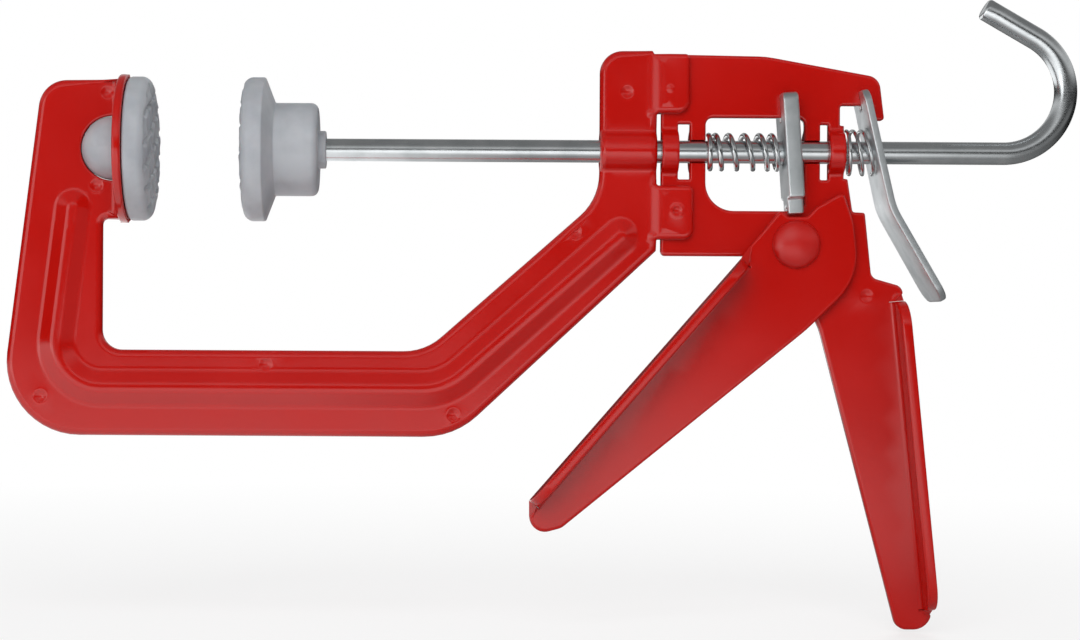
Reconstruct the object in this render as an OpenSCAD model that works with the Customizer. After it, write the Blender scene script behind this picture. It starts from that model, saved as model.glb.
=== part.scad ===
// One-handed speed clamp: a pressed C-frame carries a flat head plate whose lower end is the
// fixed grip. A trigger riveted to it pushes a thick drive plate, which bites on the round rod
// and carries the moving pad towards the fixed pad. A tilted lever behind locks the rod.
//
// Every piece is drawn flat, with x along the rod, y up and z towards the user, and stood up
// by upright(). The origin is the middle of the fixed pad's clamping face, on the rod's axis.

/* [Rod] */
// Diameter of the rod
rod_d = 8; // [6:0.5:10]
// Radius of the pull hook, to the middle of the rod
hook_r = 22; // [18:1:30]
// Angle that the pull hook turns through
hook_turn = 150; // [120:5:165]
// Straight end of the pull hook
hook_tail = 21; // [10:1:30]
// Straight rod from the release lever to the hook
rod_tail = 46; // [35:1:70]
// Radial clearance of the rod in its guides
rod_clear = 0.1; // [0.05:0.05:0.1]

/* [Pads] */
// Opening between the two pads
jaw_open = 31; // [5:1:90]
// Diameter of both pads
pad_d = 51; // [40:1:60]
// Thickness of the fixed pad, without its boss
pad_t = 8.8; // [8:0.2:12]
// Straight rim of a pad
pad_rim = 6.5; // [4:0.5:8]
// Distance between the grooves on a pad's face
groove_pitch = 8.5; // [6:0.5:12]
// Width of a groove
groove_w = 1.6; // [0.8:0.2:2.4]
// Depth of a groove
groove_h = 1.2; // [0.6:0.2:2]
// Radius of the round boss that holds the fixed pad
boss_r = 11.2; // [9:0.2:13]
// Radius of the boss's neck
neck_r = 7.8; // [5:0.2:8.4]
// Diameter of the moving pad's hub
hub_d = 33; // [28:1:38]
// Depth of the moving pad, face to hub
hub_t = 27.2; // [25:0.2:32]
// Diameter of the collar where the rod enters the hub
collar_d = 13.4; // [12:0.2:18]
// Height of that collar
collar_t = 2.7; // [1:0.1:4]
// Radius of the hollow inside the hub
hub_hollow_r = 9; // [8.5:0.5:11]
// Depth of the hollow inside the hub
hub_hollow_t = 10; // [8:1:11]

/* [Frame] */
// Thickness of each frame pressing
frame_gauge = 3; // [2:0.1:3.4]
// From the fixed pad's face to the right arm
throat_len = 157.8; // [140:1:200]
// From the rod's axis to the bottom of the throat
throat_depth = 71.3; // [60:1:100]
// Width of the bottom bar
bar_w = 30.4; // [27:0.2:36]
// Width of the left arm at the rod's axis
arm_w = 31; // [29:0.5:36]
// Lean of the left arm's outer edge
arm_lean = 7; // [4:0.5:10]
// Width of the right arm, along the rod
post_w = 20.2; // [18:0.2:26]
// Height of the left arm above the rod's axis
arm_top = 24.2; // [20:0.2:26]
// Height of the right arm above the rod's axis
post_top = 35.6; // [34:0.2:40]
// Angle of the slanting stay
stay_angle = 41.5; // [38:0.5:45]
// Width of the slanting stay
stay_w = 29.5; // [27:0.5:32]
// Radius of the outer left corner
corner_r = 26; // [18:1:30]
// Radius of the turned-out seat behind the fixed pad
seat_r = 26.3; // [24:0.1:28]
// Half width of the pressed rib at its foot
rib_w = 6.4; // [5:0.2:7]
// Half width of the pressed rib on top
rib_top = 1.8; // [1:0.2:3]
// Height of the pressed rib
rib_h = 3; // [2:0.2:4]
// Depth of the lugs over the head plate
lug_len = 12.8; // [11:0.2:16]

/* [Head plate and grip] */
// Thickness of the head plate and of the trigger
plate_gauge = 3.5; // [2.5:0.1:4]
// Width of each strap that guides the rod
strap_w = 5.6; // [4:0.2:6.4]
// Gap between two straps
strap_gap = 4.2; // [3:0.2:5]
// Length of the window
window_len = 35; // [32:1:42]
// Top of the window above the rod's axis
window_top = 12.1; // [11:0.1:14]
// Bottom of the window below the rod's axis
window_low = 20.9; // [18:0.1:22]
// Top left corner of the head above the rod's axis
head_top = 34.4; // [33:0.2:36]
// Underside of the head below the rod's axis
head_low = 37; // [35:0.5:42]
// Length of the fixed grip below the head
grip_len = 132; // [110:1:150]
// Width of the fixed grip at its foot
grip_w = 12; // [11:0.5:16]
// Lean of the fixed grip's left edge
grip_lean = 15; // [13:0.5:17]
// Height of the turned edges above their plate
edge_h = 12.5; // [8:0.5:16]
// Inside radius of the turned edges
edge_r = 1.5; // [1:0.1:2.5]
// Rounding at the ends of the turned edges
edge_end_r = 9; // [5:0.5:10]

/* [Trigger] */
// Distance of the trigger's rivet below the rod's axis
pivot_drop = 32.8; // [31:0.2:36]
// Length of the trigger's finger edge
trigger_len = 113; // [95:1:125]
// Angle of the finger edge below the rod
trigger_angle = 49.1; // [46:0.1:52]
// Radius of the trigger around its rivet
trigger_r = 19.8; // [18:0.2:21]
// Reach of the horn that pushes the drive plate
horn_r = 25; // [24:0.1:25]
// Radius of the rivet's shank
rivet_r = 4; // [3:0.2:5]
// Radius of the rivet's domed head
rivet_head_r = 8.5; // [7:0.1:9]
// Height of the rivet's domed head
rivet_head_h = 4.2; // [3:0.1:5]

/* [Drive plate and release lever] */
// Thickness of the drive plate
drive_t = 5.6; // [4:0.1:6.4]
// Width of the drive plate
drive_w = 20; // [18:0.5:26]
// Tilt of the drive plate at rest
drive_tilt = 4; // [3:0.5:6]
// Thickness of the release lever
lever_t = 2.6; // [2:0.1:3]
// Width of the release lever at the rod
lever_w = 22; // [20:0.5:26]
// Width of the release lever at the thumb
thumb_w = 28; // [24:0.5:32]
// Tilt of the release lever at rest
lever_tilt = 12.5; // [10:0.5:14]
// Slope of the lever's thumb end
thumb_tilt = 30; // [25:1:35]
// Length of the lever's thumb end
thumb_len = 37; // [28:1:42]

/* [Springs] */
// Mean radius of the main spring
main_r = 6; // [5.6:0.1:6.6]
// Wire of the main spring
main_wire = 1.8; // [1.2:0.1:2]
// Turns of the main spring
main_turns = 5; // [4:1:7]
// Mean radius of the release spring
release_r = 7.7; // [6.6:0.1:8]
// Wire of the release spring
release_wire = 1.3; // [1:0.1:1.5]
// Turns of the release spring
release_turns = 2; // [1:0.5:2]

/* [Hidden] */
$fn = 64;

paint = "#c8190c";
zinc = "#b9bec2";
nylon = "#c9ccd0";

rod_r = rod_d / 2;
guide_r = rod_r + rod_clear;
seat_gap = 0.2;                       // free play of the pads in their seats
shift = 0.01;                         // cutters stand proud of what they cut by this much
over = 1;                             // how far a cutter runs past a face
seam = 0.06;                          // a straight run is this much slimmer than its bend
seam_run = 0.5;                       // and reaches this far into it

// Stations along the rod, each measured from the one before it
seat_x = -pad_t - seat_gap;
arm_right = seat_x - frame_gauge;
inner_left = arm_right - 6.2;
post_left = throat_len;
post_right = post_left + post_w;
head_left = post_right + 1.6;
strap_a = head_left + 0.4;
strap_b = strap_a + strap_w + strap_gap;
window_left = strap_b + strap_w;
window_right = window_left + window_len;
strap_c = window_right;
strap_d = strap_c + strap_w - 1 + strap_gap - 0.4;
strap_end = strap_d + strap_w;
pivot = [window_right - 3.3, -pivot_drop];
notch_left = strap_end - 1.4;
notch_top = 16.6;
hook_tooth = notch_left + 11.6;       // left flank of the tooth behind the lever
head_right = hook_tooth + 4.1;

// Places on the rod that move with it
moving_face = jaw_open;
hollow_front = moving_face + 12;
clip_t = 1;
clip_x = hollow_front + hub_hollow_t - clip_t - seat_gap;
clip_groove_r = rod_r - 0.8;
rod_front = hollow_front + 0.3;

// Drive plate: its middle crosses the axis here, and it leans with its foot to the right
drive_x = window_right - 4.9;
drive_top = 20.8;
drive_foot = 16.6;
tongue_foot = window_low + 1.1;
tongue_w = 10.4;
fork_w = plate_gauge + 0.5;

// Release lever: its middle crosses the axis here
lever_x = hook_tooth + 0.6;
lever_top = 22.3;
lever_knee = 20.7;

function unit(v) = v / norm(v);
function turn(a) = [cos(a), sin(a)];
function swing(a0, a1) = ((a1 - a0 + 900) % 360) - 180;

// Points of one rounded corner p between a and b
function corner_points(a, p, b, r) =
    r <= 0 ? [p] :
    let (u = unit(a - p), v = unit(b - p),
         half = acos(max(-1, min(1, u * v))) / 2,
         from = p + u * r / tan(half), to = p + v * r / tan(half),
         mid = p + unit(u + v) * r / sin(half),
         a0 = atan2(from.y - mid.y, from.x - mid.x),
         sweep = swing(a0, atan2(to.y - mid.y, to.x - mid.x)),
         n = max(2, ceil(abs(sweep) / 7.5)))
    [for (i = [0:n]) mid + r * turn(a0 + sweep * i / n)];

// Outline from rows of [x, y, corner radius]
function outline(rows) =
    let (n = len(rows), at = [for (row = rows) [row[0], row[1]]])
    [for (i = [0:n - 1])
        each corner_points(at[(i + n - 1) % n], at[i], at[(i + 1) % n], rows[i][2])];

// Where the line through p at angle a meets the line through q at angle b
function meet(p, a, q, b) =
    let (d = q - p, s = (d.x * sin(b) - d.y * cos(b)) / sin(b - a)) p + s * turn(a);

module upright() rotate([90, 0, 0]) children();
// Stands a section drawn in y and z along x
module along_x(x, length) translate([x, 0, 0]) rotate([90, 0, 90]) linear_extrude(length) children();
module rounded(rows) polygon(outline(rows));

// Square piece left over outside a round, to fill an inside corner
module fillet(r) difference() {
    square(r);
    translate([r, r]) circle(r);
}

// ---- C-frame pressings ----

inner_low = -throat_depth;
bar_low = inner_low - bar_w;
stay_start = [post_left - 61.5, inner_low];
stay_inner_top = meet(stay_start, stay_angle, [post_left, 0], 90);
stay_outer = stay_start + stay_w * turn(stay_angle - 90);
arm_out = arm_right - arm_w;
arm_foot = [arm_out - (-bar_low) * tan(arm_lean), bar_low];
stay_end = meet(stay_outer, stay_angle + 1.3, [post_right, 0], 90);

module frame_outline() rounded([
    [arm_out + arm_top * tan(arm_lean), arm_top, 10],
    [arm_right + shift, arm_top, 0],
    [arm_right + shift, -seat_r + 3.5, 0],
    [inner_left, -seat_r + 3.5, 2],
    [inner_left, inner_low, 7],
    [stay_start.x, inner_low, 20],
    [post_left, stay_inner_top.y, 20],
    [post_left, post_top, 8],
    [post_right - 1.6, post_top, 0],
    [post_right - 0.8, post_top - 4.4, 0],
    [post_right, post_top - 6, 0],
    [post_right, stay_end.y + 0.6, 1],
    [meet(stay_outer, stay_angle + 1.3, [0, bar_low], 0).x, bar_low, 28],
    [arm_foot.x, bar_low, corner_r]
]);

// The rib runs down the left arm, along the bar and up the slanting stay
rib_foot_y = bar_low + bar_w * 0.56;
rib_arm_x = arm_right - 13.8;
rib_path = [
    [rib_arm_x - 21 * tan(arm_lean), -21],
    [rib_arm_x + rib_foot_y * tan(arm_lean), rib_foot_y],
    meet([0, rib_foot_y], 0, stay_start + stay_w / 2 * turn(stay_angle - 90), stay_angle),
    stay_start + stay_w / 2 * turn(stay_angle - 90) + 79 * turn(stay_angle)
];
rib_bend = [0, 16, 22, 0];

// Half of the rib's section, with its root sunk by root, and slimmer by less
module rib_half(root, less = 0) polygon([[0, -root], [rib_w - less, -root], [rib_w - less, 0],
    [rib_top - less, rib_h - less], [0, rib_h - less]]);
module rib_section(root, less = 0) {
    rib_half(root, less);
    mirror([1, 0]) rib_half(root, less);
}
module rib_end(at, heading, root) translate(at) rotate(heading - 90) rotate_extrude(angle = 180)
    rib_half(root);

module rib(root) {
    trims = [for (i = [0:3]) i == 0 || i == 3 ? 0 :
        let (u = unit(rib_path[i - 1] - rib_path[i]), v = unit(rib_path[i + 1] - rib_path[i]))
        rib_bend[i] / tan(acos(u * v) / 2)];
    headings = [for (i = [0:2]) let (d = rib_path[i + 1] - rib_path[i]) atan2(d.y, d.x)];
    for (i = [0:2]) {
        way = turn(headings[i]);
        from = rib_path[i] + way * trims[i];
        run = norm(rib_path[i + 1] - rib_path[i]) - trims[i] - trims[i + 1];
        translate(from) rotate(headings[i]) along_x(-seam_run, run + 2 * seam_run)
            rib_section(root, seam);
        if (i < 2) translate(from + way * run + rib_bend[i + 1] * turn(headings[i] + 90))
            rotate(headings[i] - 90) rotate_extrude(angle = swing(headings[i], headings[i + 1]))
                translate([rib_bend[i + 1], 0]) rib_section(root);
    }
    rib_end(rib_path[0], headings[0] + 180, root);
    rib_end(rib_path[3], headings[2], root);
}

// Section of a sheet that hoops over the rod, hollow side down
module hoop_section(sheet_low, sheet_top, reach, fill_r) {
    outer = guide_r + sheet_top - sheet_low;
    round_y = sqrt(pow(outer + fill_r, 2) - pow(sheet_top + fill_r, 2));
    difference() {
        union() {
            translate([-reach, sheet_low]) square([2 * reach, sheet_top - sheet_low]);
            intersection() {
                circle(outer);
                translate([-outer, sheet_low]) square(2 * outer);
            }
            for (side = [-1, 1]) difference() {
                translate([side > 0 ? 0 : -round_y, sheet_low])
                    square([round_y, sheet_top - sheet_low + fill_r * 0.75]);
                translate([side * round_y, sheet_top + fill_r]) circle(fill_r);
            }
        }
        circle(guide_r);
        translate([-guide_r, -outer]) square([2 * guide_r, outer]);
    }
}

// A lug steps outwards by half the head plate and lies on its face
lug_step = plate_gauge / 2;
module lug(bottom, top, length, bottom_r, top_r) intersection() {
    translate([0, 200, 0]) rotate([90, 0, 0]) linear_extrude(400) polygon([
        [post_right - 4, 0], [post_right - 1, 0], [head_left - 0.4, lug_step],
        [post_right + length, lug_step], [post_right + length, lug_step + frame_gauge],
        [head_left - 1.2, lug_step + frame_gauge], [post_right - 2.4, frame_gauge],
        [post_right - 4, frame_gauge]]);
    linear_extrude(20) rounded([
        [post_right - 4, bottom, 0], [post_right + length, bottom, bottom_r],
        [post_right + length, top, top_r], [post_right - 4, top, 0]]);
}

module frame_pressing() color(paint) difference() {
    union() {
        difference() {
            union() {
                linear_extrude(frame_gauge) frame_outline();
                translate([arm_right - 3, 0, frame_gauge]) rotate([90, 0, 0])
                    translate([3, 0, -arm_top]) linear_extrude(arm_top + seat_r - 3.5)
                        mirror([1, 0]) fillet(3);
            }
            translate([seat_x - 5.5, 0, -over]) intersection() {
                cylinder(r = boss_r + 0.4, h = 20);
                translate([-30, -30, 0]) cube([30 + 5.5 - frame_gauge, 60, 20]);
            }
        }
        along_x(arm_right, frame_gauge) difference() {
            intersection() {
                circle(seat_r);
                translate([-seat_r, 0]) square([2 * seat_r, seat_r]);
            }
            circle(neck_r + seat_gap);
        }
        translate([0, 0, frame_gauge]) rib(frame_gauge / 2);
        along_x(post_left, post_w) hoop_section(0, frame_gauge, 12, 2);
        lug(13.5, head_top, lug_len - 1.4, 4.3, 1.2);
        lug(-31.2, -12.1, lug_len, 3.6, 1.2);
    }
    rib(over);
    along_x(post_left - over, post_w + 2 * over) circle(guide_r);
    along_x(arm_right - over, frame_gauge + 2 * over) circle(neck_r + seat_gap);
}

module c_frame_front() upright() frame_pressing();
module c_frame_back() upright() mirror([0, 0, 1]) frame_pressing();

// ---- Turned edges of the grip and the trigger ----

// Starts at the origin, runs along x, with the plate on its left and its flange upwards
module turned_edge(length, height, reach) {
    outer = edge_r + plate_gauge;
    intersection() {
        along_x(0, length) {
            translate([0, outer]) square([plate_gauge, height - outer]);
            translate([outer, 0]) square([reach, plate_gauge]);
            intersection() {
                difference() {
                    translate([outer, outer]) circle(outer);
                    translate([outer, outer]) circle(edge_r);
                }
                square(outer);
            }
        }
        translate([0, outer + reach + over, 0]) rotate([90, 0, 0]) linear_extrude(outer + reach + 2 * over)
            rounded([[0, -over, 0], [length, -over, 0], [length, height, edge_end_r],
                     [0, height, edge_end_r]]);
    }
}
// What the turned edge replaces in its plate
module edge_strip(length) translate([0, -20, -over]) cube([length, 20 + edge_r + plate_gauge, plate_gauge + 2 * over]);

module head_strap(x, front) {
    low = -plate_gauge / 2;
    along_x(x, strap_w) mirror([0, front ? 0 : 1]) hoop_section(low, -low, 10.2, 1.5);
}

// ---- Head plate, in one piece with the fixed grip ----

grip_top = [strap_end - 8.8, -head_low - 24];
grip_low_y = -head_low - grip_len;
grip_foot = meet(grip_top, -90 + grip_lean, [0, grip_low_y], 0);
palm_low = [grip_foot.x + grip_w - 0.6, grip_low_y + 13];
palm_top = [palm_low.x - 10.2, -head_low - 17.5];
palm_len = norm(palm_top - palm_low);
palm_turn = atan2(palm_top.y - palm_low.y, palm_top.x - palm_low.x);

module head_outline() rounded([
    [head_left, head_top, 1], [head_left + 40, head_top - 2, 30],
    [head_right - 1.9, head_top - 7.8, 5], [head_right, 11.4, 1.2], [hook_tooth, 11.4, 0.8], [hook_tooth, notch_top, 0.8],
    [notch_left, notch_top, 0.8], [notch_left, 8.5, 0], [strap_end, 7.8, 0],
    [strap_end, -9, 0.8], [strap_end + 1.4, -9.3, 1], [strap_end + 3.2, -window_low - 0.2, 1],
    [hook_tooth - 2.6, -window_low - 0.4, 1], [hook_tooth - 0.2, -head_low - 7.3, 3],
    [palm_top.x, -head_low - 10.5, 4], [palm_top.x + 0.1, palm_top.y, 0],
    [palm_low.x, palm_low.y, 0], [palm_low.x - 0.8, grip_low_y, 7],
    [grip_foot.x - 0.6, grip_low_y, 5], [grip_top.x, grip_top.y, 20],
    [pivot.x - 8, -head_low, 8], [head_left, -head_low, 1.6]
]);

module head_plate() color(paint) upright() {
    half = plate_gauge / 2;
    difference() {
        translate([0, 0, -half]) linear_extrude(plate_gauge) difference() {
            head_outline();
            rounded([[window_left, window_top, 3.5], [window_right, window_top, 3.5],
                     [window_right, -window_low, 3], [window_left, -window_low, 10]]);
            translate([head_left - over, -9.8]) square([window_left - head_left + over + shift, 19.6]);
            translate([strap_c - shift, -9.8]) square([strap_d - strap_c + strap_w + over, 19.6]);
            translate(pivot) circle(rivet_r + seat_gap / 4);
        }
        translate([palm_low.x, palm_low.y, -half]) rotate(palm_turn) edge_strip(palm_len);
    }
    head_strap(strap_a, true);
    head_strap(strap_b, false);
    head_strap(strap_c, false);
    head_strap(strap_d, true);
    translate([palm_low.x, palm_low.y, -half]) rotate(palm_turn)
        turned_edge(palm_len, plate_gauge + edge_h, 2);
}

// ---- Trigger ----

finger_top = pivot + [-19.8, -5.2];
finger_turn = 180 + trigger_angle;
finger_low = finger_top + trigger_len * turn(finger_turn);
horn_tip = pivot + horn_r * turn(48.5);
notch_bottom = pivot + [1.6, 9.8];

module trigger_outline() rounded([
    [finger_top.x, finger_top.y, 0], [finger_low.x, finger_low.y, 0],
    [finger_low.x + 0.4, finger_low.y - 13, 5.5], [finger_low.x + 11.5, finger_low.y - 10, 5.5],
    [pivot.x + 4, pivot.y - 30, 60], [pivot.x + trigger_r + 2.6, pivot.y - 12, 22],
    [pivot.x + trigger_r + 0.4, pivot.y + 8, 12], [horn_tip.x, horn_tip.y, 1.2],
    [notch_bottom.x + 5.4, notch_bottom.y + 3.4, 3], [notch_bottom.x + 2.4, notch_bottom.y, 2.2],
    [notch_bottom.x - 4.6, notch_bottom.y, 1.6], [pivot.x - 5.6, pivot.y + 12.2, 1.2],
    [finger_top.x + 7.4, finger_top.y + 9, 8]
]);

module trigger() color(paint) upright() translate([0, 0, plate_gauge / 2]) {
    difference() {
        linear_extrude(plate_gauge) difference() {
            trigger_outline();
            translate(pivot) circle(rivet_r + seat_gap / 4);
        }
        translate(finger_top) rotate(finger_turn) edge_strip(trigger_len);
    }
    translate(finger_top) rotate(finger_turn) turned_edge(trigger_len, plate_gauge + edge_h, 3);
}

// A domed head in front, a shank through both plates and a low head behind
module pivot_rivet() color(paint) upright() translate(pivot) {
    front = plate_gauge * 1.5;
    dome_r = (pow(rivet_head_r, 2) + pow(rivet_head_h, 2)) / (2 * rivet_head_h);
    translate([0, 0, -plate_gauge / 2 - 0.5]) cylinder(r = rivet_r, h = 2 * plate_gauge + 1);
    intersection() {
        translate([0, 0, front + rivet_head_h - dome_r]) sphere(dome_r);
        translate([0, 0, front]) cylinder(r = rivet_head_r, h = rivet_head_h);
    }
    translate([0, 0, -plate_gauge / 2 - 2]) cylinder(r1 = rivet_head_r - 3, r2 = rivet_head_r - 2, h = 2);
}

// ---- Drive plate ----

// Drawn across the rod with its middle at the axis, then leaned
module drive_plate() color(zinc) upright() translate([drive_x, 0, 0]) rotate(drive_tilt) difference() {
    union() {
        translate([-drive_t / 2, 0, 0]) along_x(0, drive_t) rounded([
            [drive_top, drive_w / 2, 3], [-drive_foot, drive_w / 2, 1.2],
            [-drive_foot, -drive_w / 2, 1.2], [drive_top, -drive_w / 2, 3]]);
        translate([-drive_t / 2, -tongue_foot, -tongue_w / 2])
            cube([drive_t, tongue_foot, tongue_w]);
    }
    along_x(-drive_t, 2 * drive_t) circle(rod_r / cos(drive_tilt) + drive_t / 2 * tan(drive_tilt) + rod_clear);
    translate([-drive_t, window_top - 1.2, -fork_w / 2]) cube([2 * drive_t, drive_top, fork_w]);
    translate([-drive_t, -tongue_foot - over, -fork_w / 2])
        cube([2 * drive_t, tongue_foot - window_low + 1.4 + over, fork_w]);
}

// ---- Release lever ----

module lever_hole() along_x(-2 * lever_t, 4 * lever_t)
    circle(rod_r / cos(lever_tilt) + lever_t / 2 * tan(lever_tilt) + rod_clear + 0.02);

module release_lever() color(zinc) upright() translate([lever_x, 0, 0]) {
    rotate(lever_tilt) difference() {
        along_x(-lever_t / 2, lever_t) rounded([
            [lever_top, lever_w / 2, 5], [-lever_knee, lever_w / 2 + 2, 0],
            [-lever_knee, -lever_w / 2 - 2, 0], [lever_top, -lever_w / 2, 5]]);
        lever_hole();
        translate([-lever_t, notch_top - 0.8, -fork_w / 2]) cube([2 * lever_t, lever_top, fork_w]);
    }
    knee = lever_knee * turn(lever_tilt - 90);
    translate(knee) rotate(thumb_tilt) {
        along_x(-lever_t / 2, lever_t) rounded([
            [0, lever_w / 2 + 2, 0], [-thumb_len, thumb_w / 2, 6],
            [-thumb_len, -thumb_w / 2, 6], [0, -lever_w / 2 - 2, 0]]);
    }
    // Bend between the two flats
    bend = thumb_tilt - lever_tilt;
    translate(knee + lever_t / 2 * turn(lever_tilt)) rotate(180 + lever_tilt)
        translate([0, 0, -lever_w / 2 - 2]) rotate_extrude(angle = bend) square([lever_t, lever_w + 4]);
}

// ---- Rod, clip and pads ----

module push_rod() color(zinc) upright() {
    hook_x = lever_x + rod_tail;
    difference() {
        translate([rod_front, 0, 0]) rotate([0, 90, 0]) cylinder(r = rod_r, h = hook_x - rod_front);
        translate([clip_x - seat_gap / 4, 0, 0]) rotate([0, 90, 0]) difference() {
            cylinder(r = rod_r + over, h = clip_t + seat_gap / 2);
            translate([0, 0, -over]) cylinder(r = clip_groove_r, h = clip_t + 2 * over);
        }
    }
    translate([hook_x, hook_r, 0]) {
        rotate(-90) rotate_extrude(angle = hook_turn) translate([hook_r, 0]) circle(rod_r);
        rotate(hook_turn - 90) translate([hook_r, -seam_run, 0]) rotate([-90, 0, 0]) {
            cylinder(r = rod_r - seam, h = seam_run + hook_tail - 1);
            translate([0, 0, seam_run + hook_tail - 1])
                cylinder(r1 = rod_r - seam, r2 = rod_r - 0.8, h = 1);
        }
    }
}

module retaining_clip() color(zinc) upright() translate([clip_x, 0, 0]) rotate([0, 90, 0]) difference() {
    cylinder(r = hub_hollow_r - 1.2, h = clip_t);
    translate([0, 0, -over]) cylinder(r = clip_groove_r + seat_gap / 4, h = clip_t + 2 * over);
}

// Crowned edge of a pad's face, as [distance behind the face, radius]
crown = 4.2;
function crown_points(r) = [for (i = [0:8]) [crown * (1 - sin(i * 11.25)), r - 6 * (1 - cos(i * 11.25))]];

module pad_grooves(r) for (a = [20, 110]) rotate([a, 0, 0])
    for (k = [-3:3]) translate([-over, (k + 0.5) * groove_pitch - groove_w / 2, -r])
        cube([groove_h + over, groove_w, 2 * r]);

// Turns a profile of [x, radius] round the rod's axis
module turned(points) rotate([0, 90, 0]) rotate_extrude() polygon([for (p = points) [p.y, p.x]]);

module fixed_pad() color(nylon) upright() mirror([1, 0, 0]) difference() {
    union() {
        turned(concat([[pad_t, 0], [pad_t, pad_d / 2 - 0.8], [pad_t - 0.8, pad_d / 2]],
                      crown_points(pad_d / 2), [[0, 0]]));
        turned([[pad_t - over, 0], [pad_t - over, neck_r], [pad_t + frame_gauge + 2 * seat_gap + shift, neck_r],
                [pad_t + frame_gauge + 2 * seat_gap + shift, 0]]);
        translate([pad_t + frame_gauge + 2 * seat_gap, 0, 0]) {
            rotate([0, 90, 0]) cylinder(r = boss_r, h = 2.5);
            translate([2.5, 0, 0]) rotate([0, 90, 0]) intersection() {
                sphere(boss_r);
                cylinder(r = 2 * boss_r, h = 2 * boss_r);
            }
        }
    }
    pad_grooves(pad_d);
}

module moving_pad() color(nylon) upright() translate([moving_face, 0, 0]) difference() {
    turned(concat([[0, 0]], [for (i = [8:-1:0]) crown_points(pad_d / 2)[i]],
                  [[8.4, pad_d / 2], [11.9, hub_d / 2], [hub_t - 3, hub_d / 2], [hub_t - 0.9, hub_d / 2 - 0.9],
                   [hub_t, hub_d / 2 - 3], [hub_t, collar_d / 2], [hub_t + collar_t - 0.6, collar_d / 2],
                   [hub_t + collar_t, collar_d / 2 - 0.6], [hub_t + collar_t, 0]]));
    turned([[12, 0], [12, hub_hollow_r], [12 + hub_hollow_t, hub_hollow_r], [12 + hub_hollow_t, 0]]);
    translate([12 + over, 0, 0]) rotate([0, 90, 0]) cylinder(r = guide_r, h = hub_t + collar_t);
    pad_grooves(pad_d);
}

// ---- Springs, each one unbroken wire ----

// Wire along the points, six-sided, with its rings square to the run
module wire(path, r) {
    n = len(path);
    rings = [for (i = [0:n - 1])
        let (way = unit(unit(path[min(i + 1, n - 1)] - path[max(i - 1, 0)])),
             out = [0, path[i].y, path[i].z],
             side = unit(cross(way, unit(out))), up = cross(side, way))
        [for (k = [0:5]) path[i] + r * (cos(60 * k) * up + sin(60 * k) * side)]];
    points = [for (ring = rings) each ring];
    sides = [for (i = [0:n - 2]) for (k = [0:5]) let (a = 6 * i + k, b = 6 * i + (k + 1) % 6)
        each [[a, b, b + 6], [a, b + 6, a + 6]]];
    ends = [for (k = [1:4]) each [[0, k + 1, k], [6 * n - 6, 6 * n - 6 + k, 6 * n - 5 + k]]];
    polyhedron(points, concat(sides, ends));
}

// Coil from the plane x0 to a far face that leans by lean, its ends running straight out
function coil(x0, x1, r, turns, d, lean, closed) =
    let (steps = turns * 8,
         far = function(p) x1 + (-p.y) * tan(lean),
         at = function(f) let (a = 360 * turns * f) [r * cos(a), r * sin(a)],
         body = [for (i = [0:steps]) let (f = i / steps, p = at(f),
                 along = f < 0.5 ? f : 0.5 + (f - 0.5) * (1 + closed * (1 - f)),
                 end = far([0, p[0], 0]) - d)
             [x0 + d + (end - x0 - d) * along, p[0], p[1]]])
    concat([[x0, r, 0]], body, [[far(body[steps]), body[steps].y, body[steps].z]]);

function coil_gap(path, d) = min([for (i = [0:len(path) - 1]) for (j = [i + 5:1:len(path) - 1])
    norm(path[i] - path[j]) - d]);

main_path = coil(window_left + 0.3, drive_x - drive_t / 2 - 0.9, main_r, main_turns, main_wire, drive_tilt, 0.3);
release_path = coil(strap_end + 0.3, lever_x - lever_t / 2 - 0.35, release_r, release_turns, release_wire, lever_tilt, 0);
echo(main_spring_gap = coil_gap(main_path, main_wire), release_spring_gap = coil_gap(release_path, release_wire));

module main_spring() color(zinc) upright() wire(main_path, main_wire / 2);
module release_spring() color(zinc) upright() wire(release_path, release_wire / 2);

c_frame_front();
c_frame_back();
head_plate();
trigger();
pivot_rivet();
drive_plate();
main_spring();
release_spring();
release_lever();
push_rod();
retaining_clip();
moving_pad();
fixed_pad();
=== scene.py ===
import math

import bmesh
import bpy
import numpy as np
from mathutils import Euler, Matrix, Vector, kdtree, noise
from mathutils.geometry import delaunay_2d_cdt


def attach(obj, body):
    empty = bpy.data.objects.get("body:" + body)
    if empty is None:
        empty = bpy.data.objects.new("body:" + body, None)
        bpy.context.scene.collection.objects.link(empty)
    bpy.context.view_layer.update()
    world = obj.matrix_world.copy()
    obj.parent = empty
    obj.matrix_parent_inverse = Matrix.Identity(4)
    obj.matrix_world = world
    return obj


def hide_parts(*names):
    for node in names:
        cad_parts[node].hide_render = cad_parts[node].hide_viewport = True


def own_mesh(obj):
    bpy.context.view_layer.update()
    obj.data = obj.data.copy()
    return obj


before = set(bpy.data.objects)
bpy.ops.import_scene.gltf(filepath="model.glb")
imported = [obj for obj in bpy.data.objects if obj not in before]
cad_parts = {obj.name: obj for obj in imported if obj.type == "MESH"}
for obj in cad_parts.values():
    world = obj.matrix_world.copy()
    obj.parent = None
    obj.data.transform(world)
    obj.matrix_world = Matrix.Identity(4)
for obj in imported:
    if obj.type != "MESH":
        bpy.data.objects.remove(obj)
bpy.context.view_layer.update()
print("frame loaded:", len(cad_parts), "nodes")

# Shapes are drawn as in the part's source: x along the rod, y up, z towards the user, in mm.
# The origin is the middle of the fixed pad's clamping face, on the rod's axis.
rodRadius = 4.0
guideRadius = 4.1
frameGauge = 3.0
plateGauge = 3.5
halfPlate = plateGauge / 2
pivot = (227.1, -32.8)
strapEnd = 244.4
leverAxis = 255.2         # the release lever's middle crosses the rod here
driveAxis = 225.5         # and the drive plate's middle here

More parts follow.
